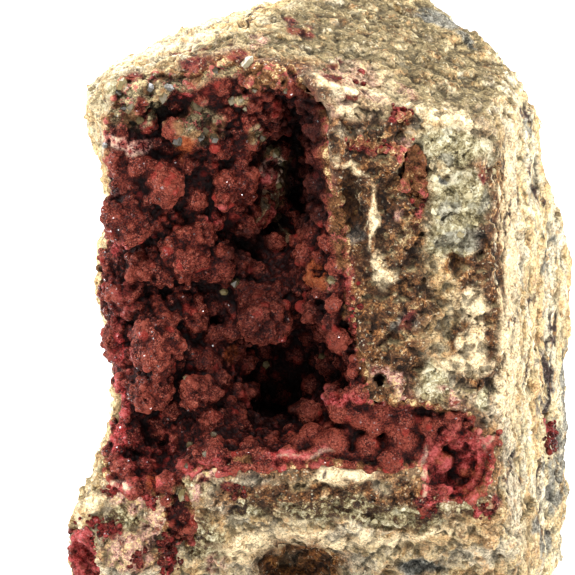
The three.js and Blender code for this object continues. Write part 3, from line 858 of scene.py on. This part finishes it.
# Lines across the view that small beads follow, where the crust thins out over the rock.
RIM_BEADS = (
    ((330, 462), (300, 462), (262, 466), (215, 470)),
    ((418, 432), (423, 455), (426, 480), (430, 502), (427, 515)),
    ((500, 432), (490, 448), (484, 475), (472, 500), (482, 516)),
    ((362, 385), (352, 340), (347, 290), (340, 250)),
    (
        (345, 140), (368, 143), (390, 149), (405, 155), (418, 170), (423, 190), (418, 210),
        (414, 226),
    ),
    ((405, 460), (440, 455), (478, 430)), ((395, 112), (410, 118)), ((110, 485), (150, 492)),
)
STONY_PLACES = (
    (150, 78, 62, 16), (205, 68, 45, 12), (138, 104, 32, 18), (200, 128, 26, 17),
    (240, 103, 10, 9), (260, 138, 9, 10), (278, 153, 8, 8), (282, 178, 5, 18), (195, 482, 16, 12),
    (110, 130, 8, 30), (332, 278, 6, 8),
)
RED_IN_STONY_PLACES = (
    (188, 147, 15, 9), (130, 78, 8, 8), (140, 107, 7, 9), (171, 92, 8, 12), (178, 110, 9, 6),
    (190, 64, 16, 9), (235, 57, 12, 7), (256, 42, 7, 12), (130, 160, 20, 20),
)
WALL_EDGE = ((100, 130, 200, 250, 270, 300, 340, 380), (318, 316, 327, 334, 342, 348, 354, 362))
FROSTED_PLACES = ((130, 141, 20, 7), (184, 53, 10, 4), (282, 172, 4, 14), (112, 488, 10, 6))
FROST_TINGES = ((424, 472, 4, 28), (488, 438, 8, 14), (300, 455, 34, 3, -6), (272, 168, 6, 10))
BRIGHT_PLACES = (
    (292, 454, 40, 7, -8), (217, 218, 8, 8), (187, 90, 9, 14), (112, 350, 9, 10),
    (486, 462, 12, 36), (424, 470, 6, 34), (432, 496, 10, 10), (480, 508, 10, 8),
    (115, 490, 16, 8), (272, 170, 8, 10), (130, 140, 18, 7), (256, 42, 7, 12), (187, 55, 14, 5),
    (195, 470, 22, 9), (215, 455, 12, 9), (150, 484, 12, 8), (118, 405, 7, 28), (113, 345, 7, 14),
    (118, 250, 7, 12), (120, 440, 7, 18), (330, 395, 30, 7),
)
ORANGE_PLACES = ((188, 145, 12, 10), (318, 275, 12, 12), (235, 355, 10, 10), (147, 484, 10, 10))
# Deep places in the hollow, painted nearly black as shade.
DEEP_SHADE_PLACES = ((305, 118, 26, 30), (308, 195, 20, 40), (250, 250, 24, 20), (275, 408, 30, 22))
rng = np.random.default_rng(7)


def balls_mesh(centres, radii, template):
    """One mesh of many balls."""
    shape, faces = template
    return copies(shape[None] * radii[:, None, None] + centres[:, None], faces)


def joined(obj, mesh):
    """Adds a mesh's shapes to an object's."""
    both = bmesh.new()
    both.from_mesh(obj.data)
    both.from_mesh(mesh)
    both.to_mesh(obj.data)
    both.free()


def nearest(points, centres):
    """For each point the number of the nearest centre and how far off it is."""
    tree = KDTree(len(centres))
    for n, centre in enumerate(centres):
        tree.insert(centre, n)
    tree.balance()
    found = [tree.find(p) for p in points]
    return np.array([f[1] for f in found]), np.array([f[2] for f in found])


crust = piece("roselite_crust", crust_mesh.copy())
place_points(crust.data, sunk(points_of(crust.data), 1))
surface = surface_of(crust.data)
centres, radii = [], []
for across, down, radius in BULGES:
    hit, _ = met_by(surface, across, down)
    if hit is not None:
        size = radius * VIEW_SPAN / VIEW_PIXELS
        centre = np.array(hit) + sight(across, down) * size * 0.45
        centres.append(centre)
        radii.append(size)
        for _ in range(int(3 + size * 3)):
            out = rng.normal(size=3)
            out[1] = -abs(out[1])
            out /= np.linalg.norm(out)
            small = size * (0.3 + 0.25 * rng.random())
            centres.append(centre + out * (size - 0.35 * small))
            radii.append(small)
for across, down, radius, depth in LEDGE_BULGES:
    line = sight(across, down)
    centres.append(eye_at + line * (depth - eye_at[1]) / line[1])
    radii.append(radius * VIEW_SPAN / VIEW_PIXELS)
placed = np.array(centres), np.array(radii)


def open_share(obj, most=0.45):
    """Share of each point that lies on the crust's open side, turned to the hollow's mouth."""
    points, normals = points_of(obj.data), normals_of(obj.data)
    return (off_surface(points, rock_surface, 1.0) > most) * smooth(-0.3, 0.1, normals @ -eye_away)


spots, facing = scattered(crust.data, BULGE_SPACING, rng, open_share(crust))
sizes = drawn(rng, BULGE_SIZES, len(spots))
apart = np.linalg.norm(spots[:, None] - placed[0][None], axis=2)
apart /= placed[1][None] + 0.3 * sizes[:, None]
wanted = (apart.min(1) > 1) & (in_view(spots)[0] > 120)
bulge_centres = np.concatenate([placed[0], (spots + facing * sizes[:, None] * 0.05)[wanted]])
bulge_radii = np.concatenate([placed[1], sizes[wanted]])
joined(crust, balls_mesh(bulge_centres, bulge_radii, round_template(3)))
applied(crust, "REMESH", mode="VOXEL", voxel_size=BULGE_VOXEL * MM)
spots, facing = scattered(crust.data, LUMP_SPACING, rng, open_share(crust))
clustered = smooth(-0.1, 0.4, waves(spots, 4.5, 31))
patch = Patches(spots)
smoother = np.maximum(patch((350, 430, 75, 30)), 0.5 * patch((455, 462, 36, 34)))
clustered *= 1 - smoother
sizes = drawn(rng, LUMP_SIZES, len(spots)) * (1 + 0.5 * clustered - 0.25 * smoother)
lump_centres = spots - facing * (sizes * (0.2 - 0.45 * clustered + 0.35 * smoother))[:, None]
lump_radii = sizes
seam_lumps = []
seam_points = points_of(rock.data)
seam_off = off_surface(seam_points, surface, 1.3)
shown = normals_of(rock.data) @ -eye_away > 0
spots, facing = scattered(rock.data, SEAM_SPACING, rng, (seam_off < 0.7) & shown)
for spot in spots:
    at, _, _, off = surface.find_nearest(Vector(spot))
    if surface.ray_cast(Vector(spot), Vector(eye_at) - Vector(spot), 60)[0] is None:
        lump_centres = np.append(lump_centres, [(spot + np.array(at)) / 2], 0)
        lump_radii = np.append(lump_radii, off / 2 + 0.02 + 0.25 * rng.random() ** 3)
        seam_lumps.append(len(lump_radii) - 1)
rock_skin = surface_of(rock.data)
for path in RIM_BEADS:
    path = np.array(path, float)
    length = np.linalg.norm(np.diff(path, axis=0), axis=1)
    for _ in range(int(length.sum() * 0.9)):
        leg = rng.choice(len(length), p=length / length.sum())
        at = path[leg] + (path[leg + 1] - path[leg]) * rng.random() + rng.normal(size=2) * 3
        hit, _ = met_by(rock_skin, *at)
        if hit is not None:
            lump_centres = np.append(lump_centres, [np.array(hit)], 0)
            lump_radii = np.append(lump_radii, drawn(rng, BEAD_SIZES))
joined(crust, balls_mesh(lump_centres, lump_radii, round_template(2)))
applied(crust, "REMESH", mode="VOXEL", voxel_size=CRUST_VOXEL * MM)
facing_view = smooth(-0.4, 0.1, normals_of(crust.data) @ -eye_away)
thinned(crust, CRUST_TRIANGLES, 1 - 0.95 * facing_view)

points, normals = points_of(crust.data), normals_of(crust.data)
patch = Patches(points)
bulge_number, _ = nearest(points, bulge_centres)
lump_number, lump_off = nearest(points, lump_centres)
tones = rng.random(len(bulge_centres))[bulge_number], rng.random(len(lump_centres))[lump_number]
stone_lump = np.zeros(len(lump_centres))
stone_lump[seam_lumps] = rng.random(len(seam_lumps)) < 0.5
stony = patch(*STONY_PLACES) * (1 - patch(*RED_IN_STONY_PLACES))
across, down = in_view(points)
wall_edge = np.interp(down, *WALL_EDGE)
past_edge = across + 5 * waves(points, 1.5, 17) - wall_edge
walled = smooth(-2, 5, past_edge) * (down < 392) * (down > 110)
walled = np.maximum(walled, patch((430, 400, 60, 9, 8), (345, 130, 12, 20), (268, 76, 24, 16)))
walled = np.maximum(walled, stone_lump[lump_number] * smooth(0.9, 0.6, lump_off))
frosted = np.maximum(0.82 * patch(*FROSTED_PLACES), 0.35 * patch(*FROST_TINGES))
ledge, pocket = patch((365, 428, 80, 28)), patch((456, 466, 30, 34))
bright = np.max([
    patch(*BRIGHT_PLACES) * (1 - 0.5 * ledge),
    0.3 * patch((145, 460, 34, 26), (120, 330, 14, 60)),
    0.75 * patch((458, 467, 36, 40)),
], 0)
orange = np.maximum(patch(*ORANGE_PLACES), 0.45 * patch((468, 480, 14, 24), (445, 450, 8, 8)))
# Painted shade: the hollow's middle, half strength, and its deepest places.
deep = np.maximum(0.5 * patch((270, 340, 75, 95)), patch(*DEEP_SHADE_PLACES))
# The fine relief, which the finish uses for painted light: lighter tops, darker creases and glints
# on the tops.
raised = relief(crust.data, 40)
beside = smooth(0.9, 0.3, off_surface(points, rock_surface, 1.0)) * (normals @ -eye_away > 0)
beside *= smooth(0.2, 0.6, waves(points, 2.6, 15)) * (1 - stony)
# The broad relief, used to paint the tops of large bunches lighter; the ledge and pocket are
# painted a step lighter too.
broad = relief(crust.data, 160)
paint(crust.data, "tones", *tones, 0.5 + broad / 3.0 + 0.35 * np.maximum(ledge, pocket))
paint(crust.data, "parts", stony, orange)
paint(crust.data, "linings", walled, frosted)
# The heights carry the relief for painted light, the painted shade of the deep places, and the edge
# share.
paint(crust.data, "heights", 0.5 + raised / 1.2, deep, np.maximum(0.9 * bright, 0.4 * beside))

CRIMSON_DARK = (0.008, 0.001, 0.001)
CRIMSON = (0.03, 0.003, 0.002)
CRIMSON_BROWN = (0.066, 0.0088, 0.0053)
CRIMSON_LIGHTEST = (0.175, 0.035, 0.021)
CRIMSON_BRIGHT = (0.22, 0.014, 0.012)
CRIMSON_PINK = (0.42, 0.085, 0.085)
# The colour of the painted glints.
GLINT_SALMON = (0.33, 0.1, 0.065)
CRIMSON_ORANGE = (0.22, 0.045, 0.013)
CRIMSON_PALE = (0.32, 0.11, 0.045)
STONY_DARK = (0.018, 0.013, 0.007)
STONY = (0.085, 0.062, 0.03)
STONY_PALE = (0.22, 0.175, 0.1)

crust_finish, tree, place = new_finish("roselite")
fine = speckle(place, 0.3, 3, 0.7)
coarse = speckle(place, 2.5, 2, 0.5)
bulge_tone, lump_tone, is_broad = shares(tree, "tones")
is_stony, is_orange, _ = shares(tree, "parts")
is_walled, is_frosted, _ = shares(tree, "linings")
is_raised, is_deep_shade, is_edge = shares(tree, "heights")
crystal = channel(cells(place, 0.14))
tone = summed(-0.37, (crystal, 0.34), (fine, 0.3), (bulge_tone, 0.15), (lump_tone, 0.17))
# Painted light: the tone is raised on the tops of balls and bunches and lowered in the creases, on
# top of the random tone.
tone = summed(tone, (is_raised, 0.45), (is_broad, 0.3))
colour = ramp(
    tone, (0.34, CRIMSON_DARK), (0.47, CRIMSON), (0.6, CRIMSON_BROWN), (0.84, CRIMSON_LIGHTEST)
)
pinkish = ramp(tone, (0.3, CRIMSON), (0.48, CRIMSON_BRIGHT), (0.75, CRIMSON_PINK))
oranges = ramp(tone, (0.3, CRIMSON), (0.55, CRIMSON_ORANGE), (0.9, CRIMSON_PALE))
stones = ramp(tone, (0.32, STONY_DARK), (0.5, STONY), (0.68, STONY_PALE), (0.95, CREAM))
stones = mixed(
    ramp(coarse, (0.5, 0.0), (0.56, 0.8)), stones, ramp(tone, (0.4, BROWN), (0.75, BROWN_PALE))
)
flushed = speckle(place, 1.1, 3, 0.7)
stones = mixed(
    ramp(flushed, (0.54, 0.0), (0.62, 0.75)), stones,
    ramp(tone, (0.35, CRIMSON), (0.6, CRIMSON_PINK)),
)
vivid = maths("MULTIPLY", ramp(lump_tone, (0.9, 0.0), (0.95, 0.7)), is_raised)
colour = mixed(vivid, colour, CRIMSON_BRIGHT)
# Painted glints: salmon specks on single crystals over the raised tops, in patches.
glint_spread = speckle(place, 1.6, 2, 0.5)
glint_specks = ramp(channel(cells(place, 0.11)), (0.8, 0.0), (0.88, 0.7))
glint_specks = maths("MULTIPLY", glint_specks, ramp(is_raised, (0.42, 0.0), (0.62, 1.0)))
glint_specks = maths("MULTIPLY", glint_specks, ramp(glint_spread, (0.4, 0.25), (0.6, 1.0)))
colour = mixed(glint_specks, colour, GLINT_SALMON)
colour = mixed(is_orange, colour, oranges)
colour = mixed(is_stony, colour, stones)
walls = ramp(tone, (0.3, BROWN_DARK), (0.52, BROWN), (0.78, BROWN_PALE), (1.0, CREAM))
walls = mixed(
    ramp(flushed, (0.53, 0.0), (0.62, 0.7)), walls, ramp(tone, (0.35, CRIMSON), (0.7, CRIMSON_PINK))
)
colour = mixed(is_walled, colour, walls)
colour = mixed(is_frosted, colour, ramp(tone, (0.26, CRIMSON), (0.4, LILAC), (0.75, PALE_CREAM)))
is_edge = maths("MULTIPLY", is_edge, ramp(flushed, (0.43, 0.1), (0.57, 1.0)))
colour = mixed(is_edge, colour, pinkish)
# Painted shade: near black in the deep places of the hollow.
colour = mixed(maths("MULTIPLY", is_deep_shade, 0.75), colour, (0.005, 0.001, 0.001))
# Painted shade: the colour darkened in the creases between balls.
crease_shade = ramp(is_raised, (0.2, 0.25), (0.5, 1.0))
colour = mixed(1.0, colour, crease_shade, "MULTIPLY")
glint = cells(place, 0.17)
normal = put(tree, "NewGeometry").outputs["Normal"]
normal = vectors("ADD", normal, strayed(glint, 1.6))
normal = vectors("NORMALIZE", normal)
flash = ramp(channel(glint, 1), (0.86, 0.0), (0.9, 1.0))
flash = maths("MULTIPLY", flash, ramp(is_raised, (0.4, 0.0), (0.55, 1.0)))
knobs = cells(place, 0.32, "Distance", "SMOOTH_F1")
shaded(
    tree, Base_Color=colour, Roughness=0.6, Specular_IOR_Level=0.08,
    Normal=bumps((knobs, 0.8, -0.2), (crystal, 0.7, 0.12)),
    Coat_Weight=flash, Coat_Roughness=0.18, Coat_IOR=2.0, Coat_Normal=normal,
)
dress(crust, crust_finish)
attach(crust, "root")
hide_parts("main_crust")

# ---- The quartz points ----
# Grey-green quartz crystals, six-sided with pointed ends, grown from the hollow's walls before
# the roselite and standing out of it, most of them along the hollow's upper left edge.

POINT_SPACING = 2.1
POINT_WIDTH = 0.62
POINT_SINK = 0.35
PLACED_POINTS = (
    (197, 106, 1.1), (232, 102, 0.9), (110, 112, 1.1), (120, 92, 0.9), (150, 88, 0.8),
    (205, 130, 1.0), (215, 138, 0.9), (190, 128, 0.8), (278, 153, 0.8), (282, 175, 0.7),
    (262, 138, 0.7), (235, 283, 0.9), (222, 292, 0.7), (265, 365, 0.8), (322, 355, 0.8),
    (185, 378, 0.6), (332, 278, 0.8), (190, 445, 0.6), (215, 435, 0.6), (188, 488, 1.0),
    (200, 492, 0.8), (178, 492, 0.7), (130, 108, 0.8), (165, 96, 0.8), (140, 120, 0.7),
    (245, 108, 0.6), (255, 90, 0.6), (285, 90, 0.6), (205, 455, 0.6), (186, 466, 0.5),
)


def point_template():
    """A six-sided crystal of half-width 1 standing on its blunt end, 3.2 high."""
    ring = [(math.cos(a), math.sin(a)) for a in np.radians(np.arange(0, 360, 60))]
    points = [(x, y, z) for z in (-1.0, 1.1) for x, y in ring] + [(0, 0, 2.2), (0, 0, -1.0)]
    faces = []
    for n in range(6):
        m = (n + 1) % 6
        faces += [(n, m, m + 6), (n, m + 6, n + 6), (n + 6, m + 6, 12), (m, n, 13)]
    return np.array(points), np.array(faces)


crust_skin = surface_of(crust.data)
points, normals = points_of(crust.data), normals_of(crust.data)
where = stony * (normals @ -eye_away > 0.1)
spots, facing = scattered(crust.data, POINT_SPACING, rng, where)
sizes = 0.4 + 0.5 * rng.random(len(spots)) ** 1.5
for across, down, size in PLACED_POINTS:
    at, outward = met_by(crust_skin, across, down)
    if at is not None:
        spots = np.append(spots, [np.array(at)], 0)
        facing = np.append(facing, [np.array(outward) - 0.6 * eye_away], 0)
        sizes = np.append(sizes, size)
shape, faces = point_template()
axes = facing + 0.55 * rng.normal(size=facing.shape)
axes /= np.linalg.norm(axes, axis=1, keepdims=True)
across_axes = np.cross(axes, rng.normal(size=axes.shape))
across_axes /= np.linalg.norm(across_axes, axis=1, keepdims=True)
frames = np.stack([across_axes, np.cross(axes, across_axes), axes], 1)
stretch = np.stack(
    [np.ones(len(spots)), 0.8 + 0.4 * rng.random(len(spots)), 0.6 + 0.5 * rng.random(len(spots))], 1
)
shapes = (shape[None] * stretch[:, None]) @ frames * sizes[:, None, None] * POINT_WIDTH
shapes += (spots - facing * sizes[:, None] * POINT_SINK)[:, None]
quartz_points = piece("quartz_points", copies(shapes, faces))
paint(quartz_points.data, "tones", np.repeat(rng.random(len(spots)), len(shape)))

point_finish, tree, place = new_finish("quartz_points")
fine = speckle(place, 0.35, 3, 0.6)
tone = summed(0, (shares(tree, "tones")[0], 0.6), (fine, 0.5))
colour = ramp(tone, (0.25, STONY_DARK), (0.55, STONY), (0.9, QUARTZ))
bump = bumps((fine, 0.25, 0.1))
shaded(tree, Base_Color=colour, Roughness=0.22, Normal=bump, Specular_IOR_Level=0.6)
dress(quartz_points, point_finish)
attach(quartz_points, "root")

# ---- The small crusts ----
# The same red roselite balls, in three pits away from the hollow: at the foot, by the hollow's
# rim and on the right-hand side. They grew there from the same water, in smaller openings.

SMALL_BALL_SPACING = 0.7
SMALL_BALL_SIZES = (0.25, 0.6)
PINK_ON_RIM = ((368, 143, 20, 7, 8), (406, 158, 8, 12))

for node in ("foot_crust", "rim_crust", "side_crust"):
    small = piece(node + "_balls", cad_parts[node].data.copy())
    spots, facing = scattered(
        small.data, SMALL_BALL_SPACING, rng, np.ones(len(small.data.vertices))
    )
    sizes = drawn(rng, SMALL_BALL_SIZES, len(spots))
    joined(small, balls_mesh(spots, sizes, round_template(2)))
    applied(small, "REMESH", mode="VOXEL", voxel_size=CRUST_VOXEL * MM)
    points = points_of(small.data)
    number, off = nearest(points, spots)
    none = np.zeros(len(points))
    shades = 0.3 + 0.7 * rng.random((2, len(spots)))
    paint(small.data, "tones", shades[0, number], shades[1, number], none + 0.75)
    stained = (0.9 + 0.3 * waves(points, 1.4, 3)) * (node == "rim_crust")
    paint(small.data, "parts", none, none)
    paint(small.data, "linings", stained, none)
    pinkest = Patches(points)(*PINK_ON_RIM) if node == "rim_crust" else 0.85
    # The relief in the first share gives the finish's painted light: lighter tops, darker creases,
    # glints on the tops.
    paint(
        small.data, "heights", 0.5 + relief(small.data, 20) / 1.2, none,
        pinkest + 0.3 * waves(points, 1.0, 4),
    )
    dress(small, crust_finish)
    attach(small, "root")
    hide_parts(node)

# ---- The scattered balls ----
# Single roselite balls and small bunches of them, grown straight on the rock round the pits, down
# the channel below the hollow and in the cracks of the upper wall.

BALL_SIZES = (0.14, 0.44)
# Middle across and down, half width and half height, and how many balls.
BALL_PATCHES = (
    (85, 545, 14, 30, 110), (104, 530, 14, 12, 40), (168, 552, 8, 24, 60), (180, 520, 10, 26, 60),
    (551, 437, 6, 15, 60), (368, 145, 24, 5, 30), (400, 152, 14, 6, 14), (418, 190, 6, 34, 30),
    (400, 115, 12, 6, 16), (150, 500, 10, 8, 30), (112, 528, 10, 6, 20), (140, 560, 10, 10, 14),
    (300, 456, 40, 4, 60), (235, 492, 10, 7, 16), (340, 255, 5, 40, 40), (352, 320, 5, 40, 30),
    (430, 500, 6, 16, 24), (486, 508, 9, 8, 24), (115, 490, 16, 6, 30), (345, 80, 30, 8, 6),
)
ball_centres, ball_radii = [], []
for across, down, half_across, half_down, count in BALL_PATCHES:
    for _ in range(count):
        at = (across, down) + rng.normal(size=2) * (half_across, half_down) * 0.55
        hit, outward = met_by(rock_skin, *at)
        if hit is not None:
            radius = drawn(rng, BALL_SIZES)
            ball_centres.append(np.array(hit) - np.array(outward) * 0.25 * radius)
            ball_radii.append(radius)
ball_centres, ball_radii = np.array(ball_centres), np.array(ball_radii)
template = round_template(2)
scattered_balls = piece("scattered_balls", balls_mesh(ball_centres, ball_radii, template))
points = points_of(scattered_balls.data)
each = len(template[0])
none = np.zeros(len(points))
paint(
    scattered_balls.data, "tones",
    *(np.repeat(rng.random(len(ball_radii)), each) for _ in range(2)), none + 0.5,
)
paint(scattered_balls.data, "parts", none, none)
paint(scattered_balls.data, "linings", none, none)
# An even relief share: the finish paints glint specks on the balls but no shade in creases.
paint(scattered_balls.data, "heights", none + 0.55, none, 0.5 + 0.7 * waves(points, 1.6, 4))
dress(scattered_balls, crust_finish)
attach(scattered_balls, "root")

# ---- Table, light and camera ----
# A pale table, a soft even surround as in a light tent, lamps to both sides and above, and the
# viewer's place.

table = bpy.data.meshes.new("table")
table.from_pydata([(-3, -3, 0), (3, -3, 0), (3, 3, 0), (-3, 3, 0)], [], [(0, 1, 2, 3)])
table = piece("table", table)
table_finish, tree, place = new_finish("pale_table")
shaded(tree, Base_Color=(0.95, 0.95, 0.95, 1), Roughness=0.9)
dress(table, table_finish)

world = bpy.data.worlds.new("surround")
bpy.context.scene.world = world
world.use_nodes = True
world.node_tree.nodes["Background"].inputs["Color"].default_value = (1, 1, 1, 1)
world.node_tree.nodes["Background"].inputs["Strength"].default_value = 0.28


def lamp(name, place, size, power, aim=(0, 0, 0.03)):
    light = bpy.data.lights.new(name, "AREA")
    light.shape = "DISK"
    light.size = size
    light.energy = power
    obj = bpy.data.objects.new(name, light)
    bpy.context.scene.collection.objects.link(obj)
    obj.location = place
    obj.rotation_euler = (Vector(aim) - Vector(place)).to_track_quat("-Z", "Y").to_euler()


lamp("above", (-0.08, -0.32, 0.5), 0.2, 4.0)
lamp("left", (-0.5, 0.1, 0.25), 0.25, 3.8)
lamp("right", (0.55, -0.12, 0.25), 0.3, 4.0)
lamp("behind", (0.0, 0.35, 0.9), 0.6, 13.0, aim=(0, 0.35, 0))

camera = bpy.data.objects.new("camera", bpy.data.cameras.new("camera"))
bpy.context.scene.collection.objects.link(camera)
camera.location = Vector(eye_at) * MM
camera.rotation_euler = Vector(eye_away).to_track_quat("-Z", "Y").to_euler()
camera.data.angle = 2 * math.atan(VIEW_SPAN / 2 / EYE_DISTANCE)
camera.data.clip_end = 10
bpy.context.scene.camera = camera
bpy.context.scene.view_settings.view_transform = "Standard"
